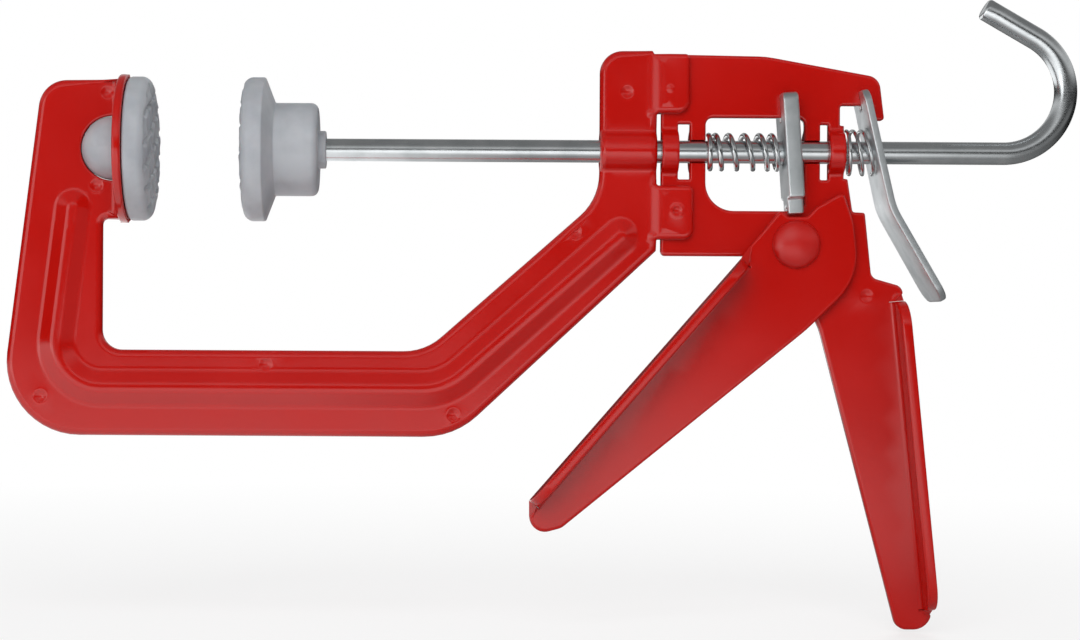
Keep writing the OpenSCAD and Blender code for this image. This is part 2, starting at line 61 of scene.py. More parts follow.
# How finely the skins are drawn, in mm and degrees
meshing = {
    "spacing": 6.0, "arcStep": 7.5, "rowShare": 0.87, "clearShare": 0.4, "reliefClear": 0.3,
    "rimBand": 0.35, "mergeGap": 0.002, "sliver": 0.0015, "thinGap": 0.28,
    "rodSides": 64, "wireSides": 14, "padSides": 180, "coilSteps": 28}


# Cosine and sine of an angle in degrees
def turn(degrees):
    return math.cos(math.radians(degrees)), math.sin(math.radians(degrees))


def mix(a, b, share):
    return a + (b - a) * share


def smooth(value, low, high):
    share = min(1.0, max(0.0, (value - low) / (high - low)))
    return share * share * (3 - 2 * share)


def readTable(table, value):
    for (x0, y0), (x1, y1) in zip(table, table[1:]):
        if value <= x1:
            return mix(y0, y1, max(0.0, (value - x0) / (x1 - x0)))
    return table[-1][1]


def meetLines(p, angleP, q, angleQ):
    cosP, sinP = turn(angleP)
    cosQ, sinQ = turn(angleQ)
    along = ((q[0] - p[0]) * sinQ - (q[1] - p[1]) * cosQ) / (sinQ * cosP - cosQ * sinP)
    return p[0] + along * cosP, p[1] + along * sinP


def signedArea(rows):
    return sum(a[0] * b[1] - b[0] * a[1] for a, b in zip(rows, rows[1:] + rows[:1])) / 2


# Loop rows along an arc
def arcRows(x, y, radius, angles, *rest):
    return [[x + radius * turn(a)[0], y + radius * turn(a)[1], *rest] for a in angles]


def mirrored(rows):
    return [[-x, *rest] for x, *rest in rows[::-1]]


def column(x, heights):
    return [[x, y, 0] for y in heights]


# Rows are [x, y, corner radius, share of the edge rounding]; the material lies on their left.
# The inset moves the loop into the material.
def cornerPoints(rows, inset=0.0):
    corners = []
    for i, row in enumerate(rows):
        p, a, b = (Vector(r[:2]) for r in (row, rows[i - 1], rows[(i + 1) % len(rows)]))
        u, v = (p - a).normalized(), (b - p).normalized()
        leftU, leftV = Vector((-u.y, u.x)), Vector((-v.y, v.x))
        share = row[3] if len(row) > 3 else 1.0
        step = inset * share
        moved = p + (leftU + leftV) * step / max(0.4, 1 + leftU.dot(leftV))
        corners.append((moved, u, v, step, share))
    points = []
    for row, (p, u, v, step, share) in zip(rows, corners):
        if row[2] <= 0:
            points.append((p.x, p.y, share))
            continue
        bend = math.atan2(u.x * v.y - u.y * v.x, u.dot(v))
        side = 1 if bend > 0 else -1
        radius = max(0.03, row[2] - side * step)
        start = p - u * radius * math.tan(abs(bend) / 2)
        middle = start + Vector((-u.y, u.x)) * side * radius
        count = max(2, math.ceil(abs(math.degrees(bend)) / meshing["arcStep"]))
        for k in range(count + 1):
            spoke = Matrix.Rotation(bend * k / count, 2) @ (start - middle)
            points.append((middle.x + spoke.x, middle.y + spoke.y, share))
    return points


# The same loop with its straight runs divided, in the same places for every inset
def loopPoints(rows, inset=0.0):
    drawn, moved = cornerPoints(rows), cornerPoints(rows, inset)
    points = []
    for i, p in enumerate(moved):
        j = (i + 1) % len(moved)
        count = max(1, round(math.dist(drawn[i][:2], drawn[j][:2]) / meshing["spacing"]))
        points += [tuple(mix(a, b, k / count) for a, b in zip(p, moved[j]))
                   for k in range(count)]
    return points


# Which points lie inside the loops, by the even-odd rule
def insideLoops(points, loops):
    points = np.array(points)
    inside = np.zeros(len(points), bool)
    for loop in loops:
        a = np.array(loop)[:, :2]
        b = np.roll(a, -1, axis=0)
        for (x0, y0), (x1, y1) in zip(a, b):
            if y0 == y1:
                continue
            crosses = (points[:, 1] > min(y0, y1)) & (points[:, 1] <= max(y0, y1))
            inside ^= crosses & (points[:, 0] < x0 + (points[:, 1] - y0) * (x1 - x0) / (y1 - y0))
    return inside


def edgeDistance(points, loops):
    points = np.array(points)
    best = np.full(len(points), 1e9)
    for loop in loops:
        a = np.array(loop)[:, :2]
        for p, q in zip(a, np.roll(a, -1, axis=0)):
            d = q - p
            share = np.clip(((points - p) @ d) / max(1e-12, d @ d), 0, 1)
            best = np.minimum(best, np.hypot(*(points - p - share[:, None] * d).T))
    return best


def flatPlace(x, y, z):
    return x, y, z


def plantTree(points):
    tree = kdtree.KDTree(len(points))
    for i, p in enumerate(points):
        tree.insert((p[0], p[1], 0), i)
    tree.balance()
    return tree


# Faces between two rings, either of which may be a single point
def joinRings(mesh, before, ring):
    count = max(len(before), len(ring))
    for k in range(count):
        j = (k + 1) % count
        corners = [before[k % len(before)], before[j % len(before)],
                   ring[j % len(ring)], ring[k % len(ring)]]
        mesh.faces.new(list(dict.fromkeys(corners)))


# One flat side of a sheet: triangles between the loops, through the points that carry relief
def fillSide(mesh, rings, loops, relief, height, place, cell):
    ringPoints = [(p[0], p[1]) for loop in loops for p in loop]
    ringVerts = [v for ring in rings for v in ring]
    clear = cell * meshing["clearShare"]
    free = []
    if relief:
        away = edgeDistance(relief, loops)
        keep = insideLoops(relief, loops) & (away > meshing["reliefClear"])
        free = [p for p, good in zip(relief, keep) if good]
    xs, ys = zip(*ringPoints)
    grid = [(x + (row % 2) * cell / 2, y)
            for row, y in enumerate(np.arange(min(ys), max(ys), cell * meshing["rowShare"]))
            for x in np.arange(min(xs), max(xs), cell)]
    if grid:
        keep = insideLoops(grid, loops) & (edgeDistance(grid, loops) > clear)
        tree = plantTree([(1e6, 1e6), *free])       # the far point stands for no relief at all
        free += [p for p, good in zip(grid, keep)
                 if good and tree.find((p[0], p[1], 0))[2] > clear]
    edges, start = [], 0
    for loop in loops:
        edges += [(start + i, start + (i + 1) % len(loop)) for i in range(len(loop))]
        start += len(loop)
    points, _, faces, origins, _, _ = delaunay_2d_cdt(
        [Vector(p) for p in ringPoints + free], edges, [], 0, 1e-5)
    verts = []
    for point, origin in zip(points, origins):
        onRing = [i for i in origin if i < len(ringVerts)]
        if onRing:
            verts.append(ringVerts[onRing[0]])
        else:
            verts.append(mesh.verts.new(place(point.x, point.y, height(point.x, point.y))))
    centres = [sum((points[i] for i in face), Vector((0, 0))) / len(face) for face in faces]
    for face, good in zip(faces, insideLoops(centres, loops)):
        corners = [verts[i] for i in face]
        if good and len(set(corners)) > 2:
            try:
                mesh.faces.new(corners)
            except ValueError:          # the same face twice: one is enough
                pass


# A sheet with rounded edges. Its sides are height functions, so ribs, dents and hoops are
# pressed into one skin, and place() bends the flat sheet into shape.
def pressSheet(mesh, loops, front, back, frontEdge, backEdge, relief=(), place=flatPlace,
               cell=6.0, backRelief=None):
    turned = [rows if (signedArea(rows) > 0) == (i == 0) else rows[::-1]
              for i, rows in enumerate(loops)]
    bends = [turn(i * 22.5) for i in range(5)]
    steps = [(backEdge + meshing["rimBand"], "back", 0.0)]
    steps += [(backEdge * (1 - c), "back", backEdge * (1 - s)) for c, s in bends[::-1]]
    steps += [(frontEdge * (1 - c), "front", frontEdge * (1 - s)) for c, s in bends]
    steps += [(frontEdge + meshing["rimBand"], "front", 0.0)]
    sides = {"back": [], "front": []}
    flats = {"back": [], "front": []}
    for rows in turned:
        before = None
        for number, (inset, side, drop) in enumerate(steps):
            points = loopPoints(rows, inset)
            ring = []
            for x, y, share in points:
                z = front(x, y) - drop * share if side == "front" else back(x, y) + drop * share
                ring.append(mesh.verts.new(place(x, y, z)))
            if before:
                joinRings(mesh, before, ring)
            before = ring
            if number in (0, len(steps) - 1):
                sides[side].append(ring)
                flats[side].append(points)
    relief = list(relief)
    backRelief = relief if backRelief is None else list(backRelief)
    fillSide(mesh, sides["front"], flats["front"], relief, front, place, cell)
    fillSide(mesh, sides["back"], flats["back"], backRelief, back, place, cell)


# Rings of [along, radius] turned round an axis, which place(along, u, v) puts where it belongs
def turnRings(mesh, profile, place, count, shift=None, swell=None):
    before = None
    for number, (along, radius) in enumerate(profile):
        if radius < 1e-6:
            ring = [mesh.verts.new(place(along + (shift(number, 0, 0) if shift else 0), 0, 0))]
        else:
            ring = []
            for k in range(count):
                c, s = turn(360 * k / count)
                wide = radius + (swell(number, 360 * k / count) if swell else 0)
                u, v = wide * c, wide * s
                reach = along + (shift(number, u, v) if shift else 0)
                ring.append(mesh.verts.new(place(reach, u, v)))
        if before:
            joinRings(mesh, before, ring)
        before = ring


# A round bar or wire along points, with closed ends; radii may change along it
def drawWire(mesh, path, radii, sides):
    path = [Vector(p) for p in path]
    out, before = None, None
    for i, p in enumerate(path):
        way = (path[min(i + 1, len(path) - 1)] - path[max(i - 1, 0)]).normalized()
        if out is None:
            out = way.orthogonal().normalized()
        out = (out - way * out.dot(way)).normalized()
        side = way.cross(out)
        ring = []
        for k in range(sides):
            c, s = turn(360 * k / sides)
            ring.append(mesh.verts.new(p + (out * c + side * s) * radii[i]))
        if before:
            joinRings(mesh, before, ring)
        else:
            mesh.faces.new(ring[::-1])
        before = ring
    mesh.faces.new(before)


# Rows of [along, radius, corner radius] as a profile with rounded corners
def roundProfile(corners, arc=5):
    points = []
    for i, (a, r, radius) in enumerate(corners):
        p = Vector((a, r))
        if radius <= 0:
            points.append((a, r))
            continue
        u = (p - Vector(corners[i - 1][:2])).normalized()
        v = (Vector(corners[i + 1][:2]) - p).normalized()
        bend = math.atan2(u.x * v.y - u.y * v.x, u.dot(v))
        reach = radius * math.tan(abs(bend) / 2)
        start = p - u * reach
        middle = start + Vector((-u.y, u.x)) * radius * (1 if bend > 0 else -1)
        for k in range(arc + 1):
            spoke = Matrix.Rotation(bend * k / arc, 2) @ (start - middle)
            points.append(tuple(middle + spoke))
    return points


def addObject(name, data):
    added = bpy.data.objects.new(name, data)
    bpy.context.scene.collection.objects.link(added)
    return added


def hexToLinear(text):
    values = [int(text[i:i + 2], 16) / 255 for i in (1, 3, 5)]
    linear = [v / 12.92 if v <= 0.04045 else ((v + 0.055) / 1.055) ** 2.4 for v in values]
    return (*linear, 1.0)


# Adds a node with its settings, its values or links, and the stops of a colour ramp.
# A node given as an input stands for its first output.
def addNode(tree, kind, inputs=None, stops=(), **settings):
    node = tree.nodes.new(kind)
    for key, value in settings.items():
        setattr(node, key, value)
    for key, value in (inputs or {}).items():
        if isinstance(value, bpy.types.Node):
            value = value.outputs[0]
        if isinstance(value, bpy.types.NodeSocket):
            tree.links.new(value, node.inputs[key])
        else:
            node.inputs[key].default_value = value
    for i, (position, colour) in enumerate(stops):
        node.color_ramp.elements[i].position = position
        node.color_ramp.elements[i].color = colour
    return node


def startMaterial(name):
    material = bpy.data.materials.new(name)
    material.use_nodes = True
    tree = material.node_tree
    tree.nodes.clear()
    place = addNode(tree, "ShaderNodeTexCoord").outputs["Object"]
    return material, tree, place


# A material whose colour drifts between two values, in clouds of a real size
def startFinish(name, finish, detail, ends):
    material, tree, place = startMaterial(name)
    clouds = addNode(tree, "ShaderNodeTexNoise", {
        "Vector": place, "Scale": 1000 / finish["cloud"], "Detail": detail})
    colours = [hexToLinear(finish[key]) for key in ("deepColour", "colour")]
    colour = addNode(tree, "ShaderNodeValToRGB", {"Fac": clouds}, list(zip(ends, colours)))
    return material, tree, place, clouds, colour


def endMaterial(tree, shader):
    addNode(tree, "ShaderNodeOutputMaterial", {"Surface": shader})


def grey(value):
    return value, value, value, 1.0


# Every size in the finishes is in mm, and a noise's scale is 1000 mm over its size.
enamel = {
    "colour": "#b80d05", "deepColour": "#ae0b04", "roughness": 0.15, "ior": 1.55,
    "peelSize": 1.6,            # dimples of the sprayed coat
    "peelDepth": 0.02, "cloud": 30.0, "rivetBlur": 0.17}


# Stoved enamel over pressed steel: a deep wet red, with the faint orange peel of a sprayed coat.
# Over the hammered rivet it lies duller, which blurs what the dome mirrors.
def makeEnamel(name, blur=0.0):
    material, tree, place, clouds, colour = startFinish(name, enamel, 3.0, (0.1, 0.9))
    gloss = enamel["roughness"] + blur
    wear = addNode(tree, "ShaderNodeValToRGB", {"Fac": clouds}, [
        (0.1, grey(gloss - 0.04)), (0.9, grey(gloss + 0.06))])
    peel = addNode(tree, "ShaderNodeTexNoise", {
        "Vector": place, "Scale": 1000 / enamel["peelSize"], "Detail": 1.0})
    bump = addNode(tree, "ShaderNodeBump", {
        "Height": peel, "Strength": 0.25, "Distance": enamel["peelDepth"] / 1000})
    endMaterial(tree, addNode(tree, "ShaderNodeBsdfPrincipled", {
        "Base Color": colour, "Roughness": wear, "IOR": enamel["ior"], "Normal": bump}))
    return material


# The grain is [along the rod, front to back, up]. Real rolling and drawing lines are a few
# hundredths of a mm wide: they are drawn wider here, or they wouldn't show.
metals = {
    "blanked zinc plate": {          # zinc plating on rolled steel: satin grey, a little cloudy
        "colour": "#e2e7e9", "deepColour": "#d0d6d8", "roughness": 0.44,
        "grain": (25.0, 0.714, 0.714), "depth": 0.03, "cloud": 7.7},
    "bright zinc bar": {             # zinc on drawn bar: bright, with faint lines lengthwise
        "colour": "#dfe3e5", "deepColour": "#ced3d5", "roughness": 0.23,
        "grain": (40.0, 0.4, 0.4), "depth": 0.01, "cloud": 7.7},
    "plated spring wire": {          # hard drawn wire, almost mirror bright
        "colour": "#d6d8d9", "deepColour": "#a9adaf", "roughness": 0.17,
        "grain": (1.67, 1.67, 1.67), "depth": 0.01, "cloud": 7.7},
    "phosphated spring steel": {     # dark, dry and even
        "colour": "#55565a", "deepColour": "#3c3d40", "roughness": 0.5,
        "grain": (1.11, 1.11, 1.11), "depth": 0.01, "cloud": 7.7}}


# Plated metal: the grain sets how far the reflections smear, and in which direction
def makeMetal(name):
    metal = metals[name]
    material, tree, place, _, colour = startFinish(name, metal, 4.0, (0.3, 0.6))
    spread = addNode(tree, "ShaderNodeMapping", {
        "Vector": place, "Scale": tuple(1000 / size for size in metal["grain"])})
    grain = addNode(tree, "ShaderNodeTexNoise", {"Vector": spread, "Scale": 1.0, "Detail": 4.0})
    rough = addNode(tree, "ShaderNodeValToRGB", {"Fac": grain}, [
        (0.3, grey(metal["roughness"] - 0.05)), (0.7, grey(metal["roughness"] + 0.07))])
    bump = addNode(tree, "ShaderNodeBump", {
        "Height": grain, "Strength": 0.3, "Distance": metal["depth"] / 1000})
    endMaterial(tree, addNode(tree, "ShaderNodeBsdfPrincipled", {
        "Base Color": colour, "Metallic": 1.0, "Roughness": rough, "Normal": bump}))
    return material


nylon = {
    "colour": "#acafb4", "deepColour": "#9a9da3", "roughness": 0.46, "ior": 1.53, "cloud": 11.1,
    "grainSize": 0.7,           # a real eroded mould's grain is 0.1 mm: drawn coarser, to show
    "grainDepth": 0.05, "glowShare": 0.08, "glowDepth": 2.0}


# Moulded nylon: a milky off-white with the dry grain of an eroded mould
def makeNylon(name):
    material, tree, place, _, colour = startFinish(name, nylon, 5.0, (0.3, 0.62))
    grain = addNode(tree, "ShaderNodeTexNoise", {
        "Vector": place, "Scale": 1000 / nylon["grainSize"], "Detail": 3.0})
    bump = addNode(tree, "ShaderNodeBump", {
        "Height": grain, "Strength": 0.4, "Distance": nylon["grainDepth"] / 1000})
    endMaterial(tree, addNode(tree, "ShaderNodeBsdfPrincipled", {
        "Base Color": colour, "Roughness": nylon["roughness"], "IOR": nylon["ior"],
        "Subsurface Weight": nylon["glowShare"], "Subsurface Scale": nylon["glowDepth"] / 1000,
        "Normal": bump}))
    return material


finishes = {name: makeMetal(name) for name in metals}
finishes["stoved red enamel"] = makeEnamel("stoved red enamel")
finishes["enamel over hammered rivet"] = makeEnamel("enamel over hammered rivet",
                                                    enamel["rivetBlur"])
finishes["moulded nylon"] = makeNylon("moulded nylon")
print("materials made:", len(finishes))


# Takes out the loose fins and wires that a fill leaves along straight rims, and closes the skin
def closeSkin(mesh):
    fins = [None]
    while fins:
        fins = [face for face in mesh.faces if any(edge.is_boundary for edge in face.edges)
                and any(len(edge.link_faces) > 2 for edge in face.edges)]
        bmesh.ops.delete(mesh, geom=fins, context="FACES_ONLY")
    wires = [edge for edge in mesh.edges if not edge.link_faces]
    bmesh.ops.delete(mesh, geom=wires, context="EDGES")
    for _ in range(2):              # a fill can leave a smaller gap for the second one
        rims = [edge for edge in mesh.edges if edge.is_boundary]
        filled = bmesh.ops.holes_fill(mesh, edges=rims, sides=0)["faces"]
        bmesh.ops.triangulate(mesh, faces=filled)


# Turns the drawing frame upright, in metres, and hangs the piece on its body
def finishPiece(name, mesh, finish, node, body, sharpAngle=38):
    bmesh.ops.remove_doubles(mesh, verts=mesh.verts, dist=meshing["mergeGap"])
    bmesh.ops.dissolve_degenerate(mesh, edges=mesh.edges, dist=meshing["sliver"])
    closeSkin(mesh)
    bmesh.ops.recalc_face_normals(mesh, faces=mesh.faces)
    for vert in mesh.verts:
        x, y, z = vert.co
        vert.co = (x / 1000, -z / 1000, y / 1000)
    data = bpy.data.meshes.new(name)
    mesh.to_mesh(data)
    mesh.free()
    data.materials.append(finishes[finish])
    data.polygons.foreach_set("use_smooth", [True] * len(data.polygons))
    data.set_sharp_from_angle(angle=math.radians(sharpAngle))
    piece = addObject(name, data)
    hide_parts(node)
    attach(piece, body)
    return piece


cFrame = {
    "armRight": -12.0, "armWidth": 31.0, "armLean": 7.0, "armTop": 24.2, "innerLeft": -18.2,
    "throatDepth": 71.3, "barWidth": 30.4, "cornerRadius": 26.0,
    "seatRadius": 26.3, "seatDrop": 1.2, "seatNeck": 8.0, "seatFillet": 3.0,
    "bossRadius": 11.2, "bossPlay": 0.25, "windowInset": 2.5,
    "postLeft": 157.8, "postRight": 178.0, "postTop": 35.6, "headTop": 34.4,
    "stayAngle": 41.5, "stayWidth": 29.5, "stayRun": 61.5, "stayTaper": 1.3, "stayRib": 79.0,
    "lugLength": 12.8, "upperLug": 13.5, "lowerLugTop": -12.1, "lowerLugLow": -31.2,
    "armRib": 13.8, "armRibTop": -21.0, "barRib": 0.56, "ribSpacing": 1.6,
    "hoopHalf": 7.7, "hoopFillet": 2.0, "edge": 2.3, "backEdge": 0.15}
# Each profile is pairs of [distance from the middle, height]
frameDents = [(-16.6, 19.7), (-20.2, -13.3), (-39.7, -87.8), (40.0, -76.1), (106.5, -93.7),
              (149.3, -28.7), (167.4, 20.9)]
frameBumps = [(175.6, 13.2), (176.2, -30.0), (182.4, 22.0)]
ringWeld = (185.0, -21.1)
ribProfile = [(0, 3.0), (1.1, 2.98), (1.7, 2.86), (2.3, 2.55), (5.3, 0.55), (5.9, 0.22),
              (6.5, 0.05), (7.1, 0.0), (7.7, 0.0)]
dentProfile = [(0, -0.75), (0.8, -0.66), (1.5, -0.38), (2.1, -0.08), (2.5, 0.07), (3.0, 0.0)]
bumpProfile = [(0, 0.45), (0.6, 0.33), (1.2, 0.08), (1.7, 0.0)]
weldProfile = [(0, -0.4), (1.0, -0.32), (1.6, 0.16), (2.1, 0.3), (2.7, 0.08), (3.2, 0.0)]
# Heights at which the hoops over the rod have a row of points
postRows = [0, 1.5, 2.6, 3.4, 3.85, 4.06, 4.13, 4.7, 5.3, 5.93, 6.3, 6.7, 7.1, 7.6]
postRows = [-y for y in postRows[:0:-1]] + postRows


# Height of a hoop's outer skin over the rod: a round that runs into the sheet through a fillet
def hoopSkin(y, sheetTop, outer, fillet):
    middle = math.sqrt((outer + fillet) ** 2 - (sheetTop + fillet) ** 2)
    if y >= middle:
        return sheetTop
    if y <= middle * outer / (outer + fillet):
        return math.sqrt(outer ** 2 - y ** 2)
    return sheetTop + fillet - math.sqrt(fillet ** 2 - (y - middle) ** 2)


# The middle line of the rib that runs round the arm, the bar and the stay
def ribCentre():
    f = cFrame
    bottom = -f["throatDepth"] - f["barWidth"]
    footY = bottom + f["barWidth"] * f["barRib"]
    armX = f["armRight"] - f["armRib"]
    lean = math.tan(math.radians(f["armLean"]))
    c, s = turn(f["stayAngle"])
    stayX = f["postLeft"] - f["stayRun"] + f["stayWidth"] / 2 * s
    stayY = -f["throatDepth"] - f["stayWidth"] / 2 * c
    rows = [[armX + f["armRibTop"] * lean, f["armRibTop"], 0],
            [armX + footY * lean, footY, 16.0],
            [*meetLines((0, footY), 0, (stayX, stayY), f["stayAngle"]), 22.0],
            [stayX + f["stayRib"] * c, stayY + f["stayRib"] * s, 0]]
    points = [rows[0][:2]]
    for before, at, after in zip(rows, rows[1:], rows[2:]):
        bent = cornerPoints([before[:2] + [0], at, after[:2] + [0]])[1:-1]
        points += [p[:2] for p in bent]
    points.append(rows[-1][:2])
    dense = []
    for a, b in zip(points, points[1:]):
        count = max(1, round(math.dist(a, b) / f["ribSpacing"]))
        dense += [(mix(a[0], b[0], k / count), mix(a[1], b[1], k / count)) for k in range(count)]
    return dense + [tuple(points[-1])]


ribLine = ribCentre()
ribTree = plantTree(ribLine)


def ribDistance(x, y):
    number = ribTree.find((x, y, 0))[1]
    best = 1e9
    for i in (number - 1, number):
        if 0 <= i < len(ribLine) - 1:
            a, b, p = Vector(ribLine[i]), Vector(ribLine[i + 1]), Vector((x, y))
            share = min(1.0, max(0.0, (p - a).dot(b - a) / (b - a).length_squared))
            best = min(best, (p - a - (b - a) * share).length)
    return best


def frontOfFrame(x, y):
    f, z = cFrame, frameGauge
    if x > f["postLeft"] - 0.2 and abs(y) < f["hoopHalf"]:
        z = hoopSkin(abs(y), frameGauge, guideRadius + frameGauge, f["hoopFillet"])
    z += lugStep(x, y)
    if y < -14 or x < 0:                            # the rib runs here only
        z += readTable(ribProfile, ribDistance(x, y))
    fillet = f["seatFillet"]
    into = x - f["armRight"] + fillet
    if 0 < into and x < 0 and y > -f["seatRadius"]:
        z += fillet - math.sqrt(max(0.0, fillet ** 2 - into ** 2))
    for places, profile in ((frameDents, dentProfile), (frameBumps, bumpProfile),
                            ([ringWeld], weldProfile)):
        for px, py in places:
            away = math.hypot(x - px, y - py)
            if away < profile[-1][0]:
                z += readTable(profile, away)
    return z


# The lugs step outwards by half the head plate
def lugStep(x, y):
    upper = smooth(y, 12.0, 13.8)
    lower = smooth(y, -32.8, -31.0) * (1 - smooth(y, -12.4, -10.6))
    return halfPlate * smooth(x, 173.8, 181.0) * max(upper, lower)


def backOfFrame(x, y):
    if x > cFrame["postLeft"] - 0.2 and abs(y) < guideRadius:
        return math.sqrt(guideRadius ** 2 - y ** 2)
    return lugStep(x, y)


def frameLoop():
    f = cFrame
    lean = math.tan(math.radians(f["armLean"]))
    top, inner, bottom = f["armTop"], -f["throatDepth"], -f["throatDepth"] - f["barWidth"]
    armOut = f["armRight"] - f["armWidth"]
    stayX = f["postLeft"] - f["stayRun"]
    stayTop = meetLines((stayX, inner), f["stayAngle"], (f["postLeft"], 0), 90)[1]
    c, s = turn(f["stayAngle"])
    outer = (stayX + f["stayWidth"] * s, inner - f["stayWidth"] * c)
    outerAngle = f["stayAngle"] + f["stayTaper"]
    stayEnd = meetLines(outer, outerAngle, (f["postRight"], 0), 90)[1]
    stayFoot = meetLines(outer, outerAngle, (0, bottom), 0)[0]
    windowX, windowRadius = f["armRight"] - f["windowInset"], f["bossRadius"] + f["bossPlay"]
    opening = math.degrees(math.acos(f["windowInset"] / windowRadius))
    seat = arcRows(windowX, 0, windowRadius, np.linspace(opening, 360 - opening, 29), 0, 0.3)
    seat[0][3] = seat[-1][3] = 0
    right, lug, seatLow = f["postRight"], f["lugLength"], -f["seatRadius"] + f["seatDrop"]
    upper, lower, low = f["upperLug"], f["lowerLugTop"], f["lowerLugLow"]
    return [
        [armOut + top * lean, top, 10], [f["armRight"], top, 0, 0], *seat,
        [f["armRight"], seatLow, 0, 0], [f["innerLeft"], seatLow, 2], [f["innerLeft"], inner, 7],
        [stayX, inner, 20], [f["postLeft"], stayTop, 20],
        *column(f["postLeft"], postRows), [f["postLeft"], f["postTop"], 8],
        [right - 1.6, f["postTop"], 0.6, 0.7], [right - 1.1, f["headTop"], 0.4, 0.5],
        [right + lug - 1.4, f["headTop"], 1.6, 0.7], [right + lug - 1.4, upper, 4.3, 0.7],
        [right, upper, 0.8, 0.7], *column(right, postRows[::-1]),
        [right, lower, 0.8, 0.7], [right + lug, lower, 1.6, 0.7], [right + lug, low, 3.6, 0.7],
        [right, low, 0.6, 0.7], [right, stayEnd + 0.6, 1], [stayFoot, bottom, 28],
        [armOut + bottom * lean, bottom, f["cornerRadius"]]]


def circlePoints(x, y, radii, count):
    spokes = [turn(360 * k / count) for k in range(count)]
    return [(x, y)] + [(x + r * c, y + r * s) for r in radii for c, s in spokes]


# Points that the pressing's skin passes through, close together where it bends
def frameRelief():
    points = []
    for i, (x, y) in enumerate(ribLine):
        a, b = Vector(ribLine[max(0, i - 1)]), Vector(ribLine[min(len(ribLine) - 1, i + 1)])
        normal = Vector((a.y - b.y, b.x - a.x)).normalized()
        for away, _ in ribProfile:
            for side in ((-1, 1) if away else (1,)):
                points.append((x + normal.x * away * side, y + normal.y * away * side))
    for end in (ribLine[0], ribLine[-1]):
        points += circlePoints(*end, [p[0] for p in ribProfile[1:]], 20)[1:]
    for x, y in frameDents + frameBumps + [ringWeld]:
        points += circlePoints(x, y, [0.5, 0.9, 1.3, 1.7, 2.1, 2.5, 2.9, 3.3], 16)
    points += [(cFrame["armRight"] - cFrame["seatFillet"] * (1 - turn(a)[1]), y)
               for a in range(0, 90, 12) for y in np.arange(-24.6, 24.2, 1.5)]
    points += [(x, y) for y in postRows for x in np.arange(160.2, 176.5, 2.6)]
    points += [(x, y) for x in np.arange(173.8, 181.2, 0.8)
               for y in [*np.arange(11.4, 34, 1.5), *np.arange(-33, -10, 1.5)]]
    tree, best, dropped = plantTree(points), [], set()
    for i, p in enumerate(points):
        if i not in dropped:
            best.append(p)
            near = tree.find_range((*p, 0), meshing["thinGap"])
            dropped.update(j for _, j, _ in near if j != i)
    return best


# The half disc that the arm turns out for the fixed pad. The fillet behind it is pressed into
# the arm's front skin by frontOfFrame.
def addSeat(mesh, flip):
    rows = arcRows(0, 0, cFrame["seatRadius"], np.linspace(-90, 90, 61), 0)
    rows += arcRows(0, 0, cFrame["seatNeck"], np.linspace(90, -90, 25), 0)
    for i in (0, 60, 61, 85):           # where the half disc's straight edge stays sharp
        rows[i].append(0)

    def place(a, b, w):
        return cFrame["armRight"] + w, b, flip * max(0.0, a)
    pressSheet(mesh, [rows], lambda x, y: frameGauge, lambda x, y: 0.0, 1.1, 0.8, (), place, 8.0)


relief = frameRelief()
backRelief = [p for p in relief if p[0] > 157 and p[1] > -34]       # round the hoop and the lugs
for node, flip in (("c_frame_front", 1), ("c_frame_back", -1)):
    pressing = bmesh.new()
    pressSheet(pressing, [frameLoop()], frontOfFrame, backOfFrame, cFrame["edge"],
               cFrame["backEdge"], relief, lambda x, y, z, flip=flip: (x, y, flip * z), 6.0,
               backRelief)
    addSeat(pressing, flip)
    finishPiece(node + "_pressing", pressing, "stoved red enamel", node, "frame")
print("C-frame pressings made")


turnedEdge = {"height": 12.5, "insideRadius": 1.5, "endRadius": 9.0, "slit": 0.12, "root": -4.9,
              "blend": 3.0}
outsideRadius = turnedEdge["insideRadius"] + plateGauge
middleRadius = turnedEdge["insideRadius"] + halfPlate
bendLength = middleRadius * math.pi / 2
flatReach = bendLength + turnedEdge["height"] + plateGauge - outsideRadius - outsideRadius


# An edge that starts at a point, runs along an angle with the plate on its left, and is bent up
def makeEdge(start, angle, length, low):
    way = Vector(turn(angle))
    out = Vector((way.y, -way.x))
    origin = Vector(start)

    def flat(along, beyond):
        p = origin + way * along + out * beyond
        return [p.x, p.y]

    def bend(x, y, z):
        p = Vector((x, y)) - origin
        along, beyond = p.dot(way), p.dot(out) + outsideRadius
        if beyond <= 0 or along < -6 or along > length + 6:
            return x, y, z
        blend = turnedEdge["blend"]
        share = smooth(along, -blend, 0.0) * (1 - smooth(along, length, length + blend))
        w = z - low
        angleNow = min(beyond, bendLength) / middleRadius
        rest = max(0.0, beyond - bendLength)
        reach = (outsideRadius - w) * math.sin(angleNow)
        rise = outsideRadius - (outsideRadius - w) * math.cos(angleNow) + rest
        reach, rise = mix(beyond, reach, share), mix(w, rise, share)
        q = origin + way * along + out * (reach - outsideRadius)
        return q.x, q.y, low + rise

    slit, root, endRadius = [turnedEdge[key] for key in ("slit", "root", "endRadius")]
    sides = np.linspace(root, 0.2, 9)
    tabs = [flat(-slit, 0) + [0, 0], flat(-slit, root) + [0, 0]]
    tabs += [flat(0, b) + [0, 0.3] for b in sides]
    tabs += [flat(0, flatReach) + [endRadius], flat(length, flatReach) + [endRadius]]
    tabs += [flat(length, b) + [0, 0.3] for b in sides[::-1]]
    tabs += [flat(length + slit, root) + [0, 0], flat(length + slit, 0) + [0, 0]]
    lines = [tuple(flat(a, b)) for b in [-5.0, *np.linspace(-4.4, 0.1, 9), 1.2]
             for a in np.arange(-4.5, length + 5, 1.5)]
    return bend, tabs, lines


